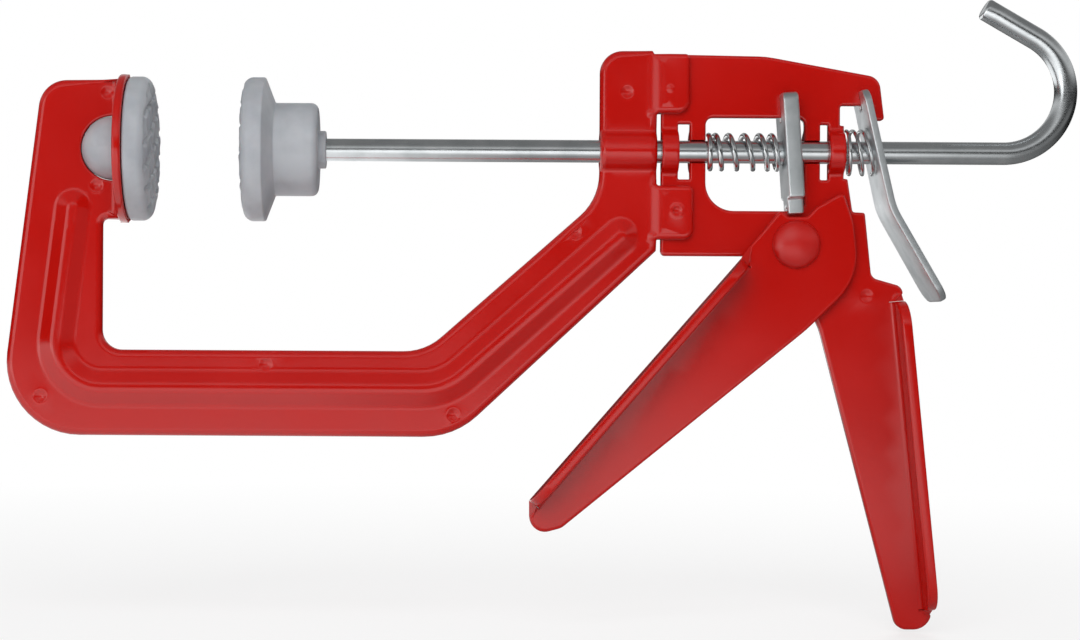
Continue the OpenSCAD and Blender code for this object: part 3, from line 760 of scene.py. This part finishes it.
headPlate = {
    "left": 179.6, "top": 34.5, "low": 37.0, "right": 258.7, "windowLeft": 195.4,
    "windowRight": 230.4, "windowTop": 12.1, "windowLow": 20.9, "slotHalf": 9.8,
    "notchLeft": 243.0, "notchTop": 16.6, "tooth": 254.6, "toothLow": 11.4,
    "gripLength": 132.0, "gripWidth": 12.0, "gripLean": 15.0,
    "palmFoot": 7.6, "palmTop": 15.5, "palmSlant": 11.0,
    "strapHalf": 9.5, "strapFillet": 1.5, "dentShare": 0.7, "rivetHole": 4.05,
    "edge": 0.9, "backEdge": 0.5}
# Each strap is [left, right, 1 before the rod or -1 behind it]
straps = [(headPlate["left"], 185.6, 1), (189.8, headPlate["windowLeft"], -1),
          (headPlate["windowRight"], 236.0, -1), (238.8, strapEnd, 1)]
strapRows = [0, 1.5, 2.6, 3.4, 3.85, 4.06, 4.13, 4.8, 5.6, 6.2, 6.7, 7.1, 7.35, 7.6, 8.0, 8.5,
             9.2]
strapRows = [-y for y in strapRows[:0:-1]] + strapRows
headDent = (252.6, -50.8)


def strapSide(x, y, side):
    for left, right, facing in straps:
        if left - 0.1 <= x <= right + 0.1 and abs(y) < headPlate["strapHalf"]:
            if facing == side:
                return side * hoopSkin(abs(y), halfPlate, guideRadius + plateGauge,
                                       headPlate["strapFillet"])
            if abs(y) < guideRadius:
                return -side * math.sqrt(guideRadius ** 2 - y ** 2)
    return side * halfPlate


def frontOfHead(x, y):
    away = math.hypot(x - headDent[0], y - headDent[1])
    dent = readTable(dentProfile, away) * headPlate["dentShare"] if away < 3 else 0
    return strapSide(x, y, 1) + dent


def backOfHead(x, y):
    return strapSide(x, y, -1)


h = headPlate                   # a short name for the rows below
gripTop = (strapEnd - 8.8, -h["low"] - 24)
gripLowY = -h["low"] - h["gripLength"]
gripFoot = meetLines(gripTop, -90 + h["gripLean"], (0, gripLowY), 0)
palmLow = (gripFoot[0] + h["gripWidth"], gripLowY + h["palmFoot"])
palmTop = (palmLow[0] - h["palmSlant"], -h["low"] - h["palmTop"])
palmAngle = math.degrees(math.atan2(palmTop[1] - palmLow[1], palmTop[0] - palmLow[0]))
palmLength = math.dist(palmLow, palmTop)
bendPalm, palmTabs, palmLines = makeEdge(palmLow, palmAngle, palmLength, -halfPlate)
headLoop = [
    [h["left"], h["top"], 1.5], [h["left"] + 37, h["top"] - 0.6, 30],
    [h["right"] - 1.9, h["top"] - 7.8, 5], [h["right"], h["toothLow"], 1.2],
    [h["tooth"], h["toothLow"], 1], [h["tooth"], h["notchTop"], 1],
    [h["notchLeft"], h["notchTop"], 1],
    [h["notchLeft"], 9.6, 0.4], [strapEnd, 9.4, 0.2], *column(strapEnd, strapRows[::-1]),
    [strapEnd + 1.4, -9.5, 0.5], [strapEnd + 3.2, -h["windowLow"] - 0.2, 1],
    [h["tooth"] - 2.6, -h["windowLow"] - 0.4, 1], [h["tooth"] - 0.2, -h["low"] - 7.3, 3],
    [palmTop[0] + 0.2, -h["low"] - 10.5, 3.4],
    *palmTabs[::-1], [palmLow[0] - 0.8, gripLowY, 6.5],
    [gripFoot[0] - 0.6, gripLowY, 4.5], [*gripTop, 20],
    [pivot[0] - 8, -h["low"], 8], [h["left"], -h["low"], 1.6],
    *column(h["left"], strapRows)]


# An opening beside the straps, with rounded corners
def strapGap(left, right, low=-headPlate["slotHalf"], top=headPlate["slotHalf"],
             radii=(0.5, 0.5, 0.5)):
    return [[left, low, radii[0]], [right, low, radii[1]], *column(right, strapRows),
            [right, top, radii[2]], [left, top, radii[2]], *column(left, strapRows[::-1])]


window = strapGap(h["windowLeft"], h["windowRight"], -h["windowLow"], h["windowTop"],
                  (10, 3, 2.6))
rivetHole = arcRows(*pivot, h["rivetHole"], range(0, 360, 15), 0, 0.2)
headRelief = palmLines + [(x, y) for left, right, _ in straps for y in strapRows
                          for x in np.linspace(left + 1.6, right - 1.6, 2)]
headRelief += circlePoints(*headDent, [0.5, 0.9, 1.3, 1.7, 2.1, 2.5, 2.9], 16)
head = bmesh.new()
gaps = [strapGap(straps[i][1], straps[i + 1][0]) for i in (0, 2)]
pressSheet(head, [headLoop, window, *gaps, rivetHole],
           frontOfHead, backOfHead, h["edge"], h["backEdge"], headRelief, bendPalm, 7.0)
finishPiece("head_plate_and_grip", head, "stoved red enamel", "head_plate",
            "frame")
print("head plate made")


trigger = {"length": 113.0, "angle": 49.1, "radius": 19.8, "drop": 5.2, "horn": 25.0,
           "hornAngle": 48.5, "edge": 0.9, "backEdge": 0.5}
px, py = pivot
fingerTop = (px - trigger["radius"], py - trigger["drop"])
fingerAngle = 180 + trigger["angle"]
fingerLow = [fingerTop[i] + trigger["length"] * turn(fingerAngle)[i] for i in (0, 1)]
hornTip = [pivot[i] + trigger["horn"] * turn(trigger["hornAngle"])[i] for i in (0, 1)]
notch = (px + 1.6, py + 9.8)
bendFinger, fingerTabs, fingerLines = makeEdge(fingerTop, fingerAngle, trigger["length"],
                                               halfPlate)
triggerLoop = [
    *fingerTabs,
    [fingerLow[0] + 0.4, fingerLow[1] - 13, 5.5], [fingerLow[0] + 11.5, fingerLow[1] - 10, 5.5],
    [px + 4, py - 30, 60], [px + trigger["radius"] + 2.6, py - 12, 22],
    [px + trigger["radius"] + 0.4, py + 8, 12], [*hornTip, 1.6],
    [notch[0] + 5.4, notch[1] + 3.4, 3], [notch[0] + 2.4, notch[1], 2.2],
    [notch[0] - 4.6, notch[1], 1.6], [px - 5.6, py + 12.2, 1.4],
    [fingerTop[0] + 7.4, fingerTop[1] + 9, 8]]
lever = bmesh.new()
pressSheet(lever, [triggerLoop, rivetHole], lambda x, y: halfPlate + plateGauge,
           lambda x, y: halfPlate, trigger["edge"], trigger["backEdge"], fingerLines,
           bendFinger, 7.0)
finishPiece("trigger_lever", lever, "stoved red enamel", "trigger", "trigger")

rivetHead = {"radius": 8.5, "height": 4.2, "seat": 5.25, "shank": 4.0, "tail": -3.75}
seat, shank, tail = rivetHead["seat"], rivetHead["shank"], rivetHead["tail"]
rivetProfile = [(seat + 0.3 + (rivetHead["height"] - 0.3) * turn(a)[0],
                 (rivetHead["radius"] - 0.1) * turn(a)[1]) for a in np.linspace(0, 90, 19)]
rivetProfile += roundProfile([
    (seat + 0.02, rivetHead["radius"], 0), (seat - 0.05, 8.4, 0), (seat - 0.05, shank, 0),
    (-halfPlate, shank, 0), (-halfPlate - 0.01, 6.3, 0), (-2.2, 6.5, 0),
    (tail + 0.35, 5.6, 0.6), (tail, 3.0, 0), (tail, 0, 0)])
rivet = bmesh.new()
turnRings(rivet, rivetProfile, lambda a, u, v: (px + u, py + v, a), meshing["rodSides"])
finishPiece("domed_rivet", rivet, "enamel over hammered rivet", "pivot_rivet",
            "frame")
print("trigger made")


drivePlate = {"thickness": 5.6, "half": 10.0, "top": 20.8, "foot": 16.6, "tongue": 22.0,
              "tongueHalf": 5.2, "notch": 19.5, "fork": 2.0, "forkLow": 10.9, "hole": 4.32,
              "tilt": 4.0, "edge": 0.8}


def placeDrive(across, up, w):
    c, s = turn(drivePlate["tilt"])
    x = w - drivePlate["thickness"] / 2
    return driveAxis + x * c - up * s, x * s + up * c, across


d = drivePlate
upper = [[d["half"], -d["foot"], 1.2], [d["half"], d["top"], 3], [d["fork"], d["top"], 0.6],
         [d["fork"], d["forkLow"], 0.4]]
tongue = [[d["fork"], -d["notch"], 0.4], [d["fork"], -d["tongue"], 0.4],
          [d["tongueHalf"], -d["tongue"], 0.6], [d["tongueHalf"], -d["foot"], 0.8]]
driveLoop = upper + mirrored(upper) + mirrored(tongue) + tongue
plate = bmesh.new()
driveHole = arcRows(0, 0, d["hole"], range(0, 360, 10), 0, 0.4)
pressSheet(plate, [driveLoop, driveHole], lambda x, y: d["thickness"], lambda x, y: 0.0,
           d["edge"], d["edge"], (), placeDrive, 6.0)
finishPiece("drive_plate_block", plate, "blanked zinc plate", "drive_plate",
            "drive_plate")


releaseLever = {"thickness": 2.6, "half": 11.0, "kneeHalf": 13.0, "thumbHalf": 14.0, "top": 22.3,
                "knee": 20.7, "thumb": 37.0, "tilt": 12.5, "thumbTilt": 30.0, "fork": 2.0,
                "forkLow": 15.8, "hole": 4.55, "soft": 5.0, "edge": 0.6}


# The lever is blanked flat, then bent at the knee over a soft radius
def placeLever(across, down, w):
    r = releaseLever
    c, s = turn(r["tilt"] + 90)
    x, y = leverAxis + r["top"] * c, r["top"] * s
    knee = r["top"] + r["knee"]

    def leanAt(place):
        return mix(r["tilt"], r["thumbTilt"], smooth(place, knee - r["soft"], knee + r["soft"]))
    steps = max(1, math.ceil(down / 0.8))
    for i in range(steps):
        c, s = turn(leanAt(down * (i + 0.5) / steps) - 90)
        x, y = x + c * down / steps, y + s * down / steps
    c, s = turn(leanAt(down))
    offset = w - r["thickness"] / 2
    return x + c * offset, y + s * offset, across


r = releaseLever
kneeDown = r["top"] + r["knee"]
leverBend = [kneeDown - 6 + i * 1.2 for i in range(11)]
leverSide = [[mix(r["half"], r["kneeHalf"], y / kneeDown) if y < kneeDown
              else mix(r["kneeHalf"], r["thumbHalf"], (y - kneeDown) / r["thumb"]), y, 0]
             for y in leverBend]
leverHalf = [[r["fork"], 0, 0.5], [r["half"], 0, 5], *leverSide,
             [r["thumbHalf"], kneeDown + r["thumb"], 6]]
slot = [[r["fork"], r["top"] - r["forkLow"], 0.5]]
leverLoop = leverHalf + mirrored(leverHalf) + mirrored(slot) + slot
leverRelief = [(x, y) for y in leverBend for x in np.linspace(-11, 11, 9)]
thumb = bmesh.new()
leverHole = arcRows(0, r["top"], r["hole"], range(0, 360, 10), 0, 0.5)
pressSheet(thumb, [leverLoop, leverHole], lambda x, y: r["thickness"], lambda x, y: 0.0,
           r["edge"], r["edge"], leverRelief, placeLever, 6.0)
finishPiece("release_lever_blade", thumb, "blanked zinc plate", "release_lever",
            "release_lever")
print("drive plate and release lever made")


pushRod = {"front": 43.3, "clip": 51.75, "clipWidth": 1.1, "clipDepth": 0.8, "hookStart": 301.2,
           "hookRadius": 22.0, "hookTurn": 150.0}
# The hook's tail: [along, radius], with a rounded end
hookTail = [(8, 4.0), (16, 4.0), (19.9, 4.0), (20.4, 3.8), (20.8, 3.45), (21.0, 3.0)]


def rodPath():
    p = pushRod
    groove, grooveEnd = rodRadius - p["clipDepth"], p["clip"] + p["clipWidth"]
    marks = [(p["front"], rodRadius - 0.6), (p["front"] + 0.6, rodRadius),
             (p["clip"], rodRadius), (p["clip"], groove), (grooveEnd, groove),
             (grooveEnd, rodRadius)]
    marks += [(x, rodRadius) for x in np.linspace(56, p["hookStart"] - 0.5, 40)]
    path = [(x, 0.0, 0.0) for x, _ in marks]
    radii = [radius for _, radius in marks]
    for a in np.linspace(0, p["hookTurn"], 50):
        c, s = turn(a - 90)
        path.append((p["hookStart"] + p["hookRadius"] * c, p["hookRadius"] + p["hookRadius"] * s,
                     0.0))
        radii.append(rodRadius)
    c, s = turn(p["hookTurn"])
    x, y, _ = path[-1]
    for along, radius in hookTail:
        path.append((x + c * along, y + s * along, 0.0))
        radii.append(radius)
    return path, radii


rod = bmesh.new()
drawWire(rod, *rodPath(), meshing["rodSides"])
finishPiece("push_rod_and_hook", rod, "bright zinc bar", "push_rod", "rod", 50)


springs = {
    "main": {"start": 195.6, "end": 221.4, "radius": 6.0, "wire": 0.9, "turns": 5.75,
             "lean": 4.0, "closed": 1.0},
    "release": {"start": 244.7, "end": 253.4, "radius": 7.7, "wire": 0.65, "turns": 2.5,
                "lean": 12.5, "closed": 0.5}}


# A wound wire whose last coil at each end lies flat on what it bears on
def makeSpring(name):
    spring = springs[name]
    mesh, path, closed = bmesh.new(), [], spring["closed"]
    steps = int(spring["turns"] * meshing["coilSteps"])
    for i in range(steps + 1):
        turns = spring["turns"] * i / steps
        c, s = turn(360 * turns)
        y, z = spring["radius"] * c, spring["radius"] * s
        share = smooth(turns, closed * 0.4, spring["turns"] - closed * 0.4)
        share = mix(share, (turns - closed * 0.3) / (spring["turns"] - closed * 0.6), 0.6)
        last = spring["end"] - y * math.tan(math.radians(spring["lean"]))
        first = spring["start"] + spring["wire"]
        path.append((mix(first, last - spring["wire"], min(1.0, max(0.0, share))), y, z))
    drawWire(mesh, path, [spring["wire"]] * len(path), meshing["wireSides"])
    return finishPiece(name + "_spring_wire", mesh, "plated spring wire", name + "_spring",
                       "frame", 60)


mainSpring, releaseSpring = makeSpring("main"), makeSpring("release")
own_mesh(mainSpring)
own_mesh(releaseSpring)
print("rod and springs made")


pads = {"radius": 25.5, "fixedDepth": 8.8, "crown": 4.2, "drop": 6.0,
        "grooveAngles": (20, 110), "pitch": 8.5, "groove": 1.8, "grooveDepth": 1.5,
        "wobble": 1.3, "wobblePace": 0.11, "lump": 0.8, "lumpPace": 0.28, "flash": 0.1,
        "neck": 7.8, "neckLength": 3.4, "boss": 11.2, "bossMiddle": 5.9,
        "hub": 16.5, "hubDepth": 27.2, "collar": 6.7, "collarHeight": 2.7,
        "movingFace": 31.0, "clipRoom": 9.0, "clipFloor": 12.0, "clipRoof": 22.0}


# The rough waffle of the clamping face: crossed grooves with worn, uneven lands between them
def faceRelief(u, v):
    away = math.hypot(u, v)
    fade = 1 - smooth(away, pads["radius"] - 3.6, pads["radius"] - 1.4)
    depth = 0.0
    for angle in pads["grooveAngles"]:
        c, s = turn(angle)
        pace = pads["wobblePace"]
        wobble = noise.noise(Vector((u * pace, v * pace, angle))) * pads["wobble"]
        across = (u * c + v * s + wobble) / pads["pitch"]
        near = (0.5 - abs(across - math.floor(across) - 0.5)) * pads["pitch"]
        depth = max(depth, 1 - smooth(near, pads["groove"] * 0.15, pads["groove"] * 0.75))
    pace = pads["lumpPace"]
    lumps = 0.5 + 0.5 * noise.noise(Vector((u * pace, v * pace, 3.1)))
    return fade * (pads["grooveDepth"] * depth + pads["lump"] * lumps)


def faceRings(radius):
    rings = [(0.0, r) for r in np.linspace(0, radius - pads["drop"] - 0.5, 34)]
    for a in np.linspace(0, 90, 16):
        c, s = turn(a)
        rings.append((pads["crown"] * (1 - c), radius - pads["drop"] * (1 - s)))
    return rings


def fixedPadProfile():
    depth, radius = pads["fixedDepth"], pads["radius"]
    profile = faceRings(radius)
    profile += roundProfile([(pads["crown"], radius, 0), (depth, radius, 1.4),
                             (depth, pads["neck"], 0)])[1:]
    profile += [(depth + pads["neckLength"], pads[key]) for key in ("neck", "boss")]
    middle = depth + pads["bossMiddle"]
    profile += [(middle + pads["boss"] * turn(a)[1], pads["boss"] * turn(a)[0])
                for a in np.linspace(0, 90, 24)[:-1]]
    return profile + [(middle + pads["boss"], 0.0)]


# The moving pad's hub is hollow where the retaining clip sits
def movingPadProfile():
    hub, collar, radius = pads["hub"], pads["collar"], pads["radius"]
    depth, end = pads["hubDepth"], pads["hubDepth"] + pads["collarHeight"]
    room, base, roof = pads["clipRoom"], pads["clipFloor"], pads["clipRoof"]
    return faceRings(radius) + roundProfile([
        (pads["crown"], radius, 0), (8.4, radius, 0.8), (11.9, hub, 0.8), (depth, hub, 2.6),
        (depth, collar, 0.4), (end, collar, 0.6), (end, guideRadius, 0),
        (roof, guideRadius, 0), (roof, room, 0), (base, room, 0), (base, 0, 0)])[1:]


# The mould line that stands proud on the fixed pad's round boss
def flash(number, angle):
    aside = min(abs(angle - 90), abs(angle - 270))
    onBoss = number > len(fixedProfile) - 24
    return pads["flash"] * max(0.0, 1 - aside / 4) if onBoss else 0.0


def makePad(name, profile, place, relief, swell=None):
    mesh, rings = bmesh.new(), len(faceRings(pads["radius"]))

    def shift(number, u, v):
        return relief(u, v) if number < rings else 0.0
    turnRings(mesh, profile, place, meshing["padSides"], shift, swell)
    finishPiece(name + "_moulding", mesh, "moulded nylon", name, name, 50)


fixedProfile = fixedPadProfile()
makePad("fixed_pad", fixedProfile, lambda a, u, v: (-a, u, v), faceRelief, flash)
makePad("moving_pad", movingPadProfile(), lambda a, u, v: (pads["movingFace"] + a, u, v),
        lambda u, v: faceRelief(v, u))
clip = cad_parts["retaining_clip"]
clip.data.materials.clear()
clip.data.materials.append(finishes["phosphated spring steel"])
print("pads made")


studio = {
    "floorZ": -0.1704, "floorFront": -2.8, "floorBack": 9.0, "floorHalf": 4.0,
    "floorColour": "#f2f2f2", "backdrop": "#ffffff", "middle": (0.12, 0.0),
    "shadowReach": 0.75, "shadowShare": 0.3,
    "shade": 0.08, "mirrored": 1.4, "rightShade": 0.12, "leftGlow": 0.9,    # floor in gloss
    "ambient": 0.29, "band": 0.62, "overhead": 0.32, "horizon": 0.02}       # the room

# A pale sheet under the clamp. Near it the light falls on real paper, so the soft shadow shows;
# further off the camera sees plain white.
half, front, back = studio["floorHalf"], studio["floorFront"], studio["floorBack"]
corners = [(x, y, studio["floorZ"])
           for x, y in ((-half, front), (half, front), (half, back), (-half, back))]
floorMesh = bpy.data.meshes.new("studio_floor")
floorMesh.from_pydata(corners, [], [(0, 1, 2, 3)])
floor = addObject("studio_floor", floorMesh)
paper, tree, place = startMaterial("white paper floor")
seen = addNode(tree, "ShaderNodeLightPath")
either = seen.outputs["Is Camera Ray"]
for ray in ("Is Glossy Ray", "Is Transmission Ray"):
    either = addNode(tree, "ShaderNodeMath", {0: either, 1: seen.outputs[ray]},
                     operation="MAXIMUM")
away = addNode(tree, "ShaderNodeVectorMath", {
    0: place, 1: (*studio["middle"], studio["floorZ"])}, operation="DISTANCE").outputs["Value"]
away = addNode(tree, "ShaderNodeMath", {0: away, 1: studio["shadowReach"]}, operation="DIVIDE")
far = addNode(tree, "ShaderNodeValToRGB", {"Fac": away}, stops=[
    (0.25, grey(1 - studio["shadowShare"])), (1.0, grey(1.0))])
share = addNode(tree, "ShaderNodeMath", {0: either, 1: far}, operation="MULTIPLY")
matte = addNode(tree, "ShaderNodeBsdfDiffuse", {"Color": hexToLinear(studio["floorColour"])})

# Gloss sees the sheet brighter than white before the clamp and dark under it and at the far
# right, with a softer glow at the left: this gives the rod its dark lower half.
spot = addNode(tree, "ShaderNodeSeparateXYZ", {"Vector": place}).outputs
ramps = []
for kind, values, stops in (
        ("MULTIPLY", {0: spot["Y"], 1: -1.0}, ((0.12, studio["shade"]), (0.36, 1.0))),
        ("ADD", {0: spot["X"], 1: 0.5}, ((0.55, studio["leftGlow"]), (0.64, 0.0))),
        ("MULTIPLY_ADD", {0: spot["Y"], 1: 0.1, 2: spot["X"]},
         ((0.29, 1.0), (0.39, studio["rightShade"])))):
    along = addNode(tree, "ShaderNodeMath", values, operation=kind)
    ramps.append(addNode(tree, "ShaderNodeValToRGB", {"Fac": along},
                         [(at, grey(value)) for at, value in stops]))
lit, left, right = ramps
for kind, value in (("MAXIMUM", left), ("MULTIPLY", right), ("MULTIPLY", studio["mirrored"])):
    lit = addNode(tree, "ShaderNodeMath", {0: lit, 1: value}, operation=kind)
strength = addNode(tree, "ShaderNodeMix", {
    0: seen.outputs["Is Glossy Ray"], 2: 1.0, 3: lit}, data_type="FLOAT")
glow = addNode(tree, "ShaderNodeEmission", {
    "Color": hexToLinear(studio["backdrop"]), "Strength": strength})
endMaterial(tree, addNode(tree, "ShaderNodeMixShader", {0: share, 1: matte, 2: glow}))
floorMesh.materials.append(paper)

# The camera sees plain white. Gloss sees a dim room with a bright band all round, which starts
# well above the camera's height: flat enamel stays deep red, and the round rod is lit.
world = bpy.data.worlds.new("white studio")
bpy.context.scene.world = world
world.use_nodes = True
tree = world.node_tree
tree.nodes.clear()
seen = addNode(tree, "ShaderNodeLightPath").outputs
direction = addNode(tree, "ShaderNodeTexCoord").outputs["Generated"]
height = addNode(tree, "ShaderNodeSeparateXYZ", {"Vector": direction}).outputs["Z"]
rising = addNode(tree, "ShaderNodeValToRGB", {"Fac": height}, stops=[
    (0.14, grey(studio["horizon"])), (0.32, grey(studio["band"]))])
falling = addNode(tree, "ShaderNodeValToRGB", {"Fac": height}, stops=[
    (0.4, grey(1.0)), (0.65, grey(studio["overhead"]))])
glow = addNode(tree, "ShaderNodeMath", {0: rising, 1: falling}, operation="MULTIPLY")
plain, room, white = [addNode(tree, "ShaderNodeBackground", {
    "Color": hexToLinear(studio["backdrop"]), "Strength": strength})
    for strength in (studio["ambient"], glow, 1.0)]
shown = addNode(tree, "ShaderNodeMixShader", {0: seen["Is Glossy Ray"], 1: plain, 2: room})
clear = addNode(tree, "ShaderNodeMath", {
    0: seen["Is Camera Ray"], 1: seen["Is Transmission Ray"]}, operation="MAXIMUM")
shown = addNode(tree, "ShaderNodeMixShader", {0: clear, 1: shown, 2: white})
addNode(tree, "ShaderNodeOutputWorld", {"Surface": shown})

# Only the low left panel shows in gloss; the others would leave white spots on the flats
lamps = {
    "front panel": {"at": (-0.05, -0.95, 0.55), "size": 0.9, "watts": 7.8, "mirrored": False},
    "low left panel": {"at": (-0.55, -0.72, -0.02), "size": 0.6, "watts": 1.3, "mirrored": True},
    "right fill panel": {"at": (1.0, -0.8, 0.2), "size": 0.8, "watts": 1.2, "mirrored": False},
    "back panel": {"at": (0.4, 1.1, 0.6), "size": 0.9, "watts": 8, "mirrored": False}}
lampAim = Vector((0.12, 0, -0.04))
for name, lamp in lamps.items():
    data = bpy.data.lights.new(name, "AREA")
    data.shape, data.energy, data.size = "DISK", lamp["watts"], lamp["size"]
    light = addObject(name, data)
    light.location = lamp["at"]
    light.rotation_euler = (lampAim - light.location).to_track_quat("-Z", "Y").to_euler()
    light.visible_glossy = lamp["mirrored"]

photo = {"lens": 76.62, "sensor": 36.0, "place": (0.098, -0.816, -0.0602), "roll": 0.33,
         "shift": 0.1019}
cameraData = bpy.data.cameras.new("photo camera")
cameraData.lens, cameraData.sensor_width = photo["lens"], photo["sensor"]
cameraData.shift_x = photo["shift"]
cameraData.clip_start, cameraData.clip_end = 0.01, 50.0
camera = addObject("photo camera", cameraData)
camera.location = photo["place"]
camera.rotation_euler = (Euler((math.radians(90), 0, 0)).to_matrix()
                         @ Matrix.Rotation(math.radians(photo["roll"]), 3, "Z")).to_euler()
bpy.context.scene.camera = camera
bpy.context.scene.view_settings.view_transform = "Standard"
print("studio made")
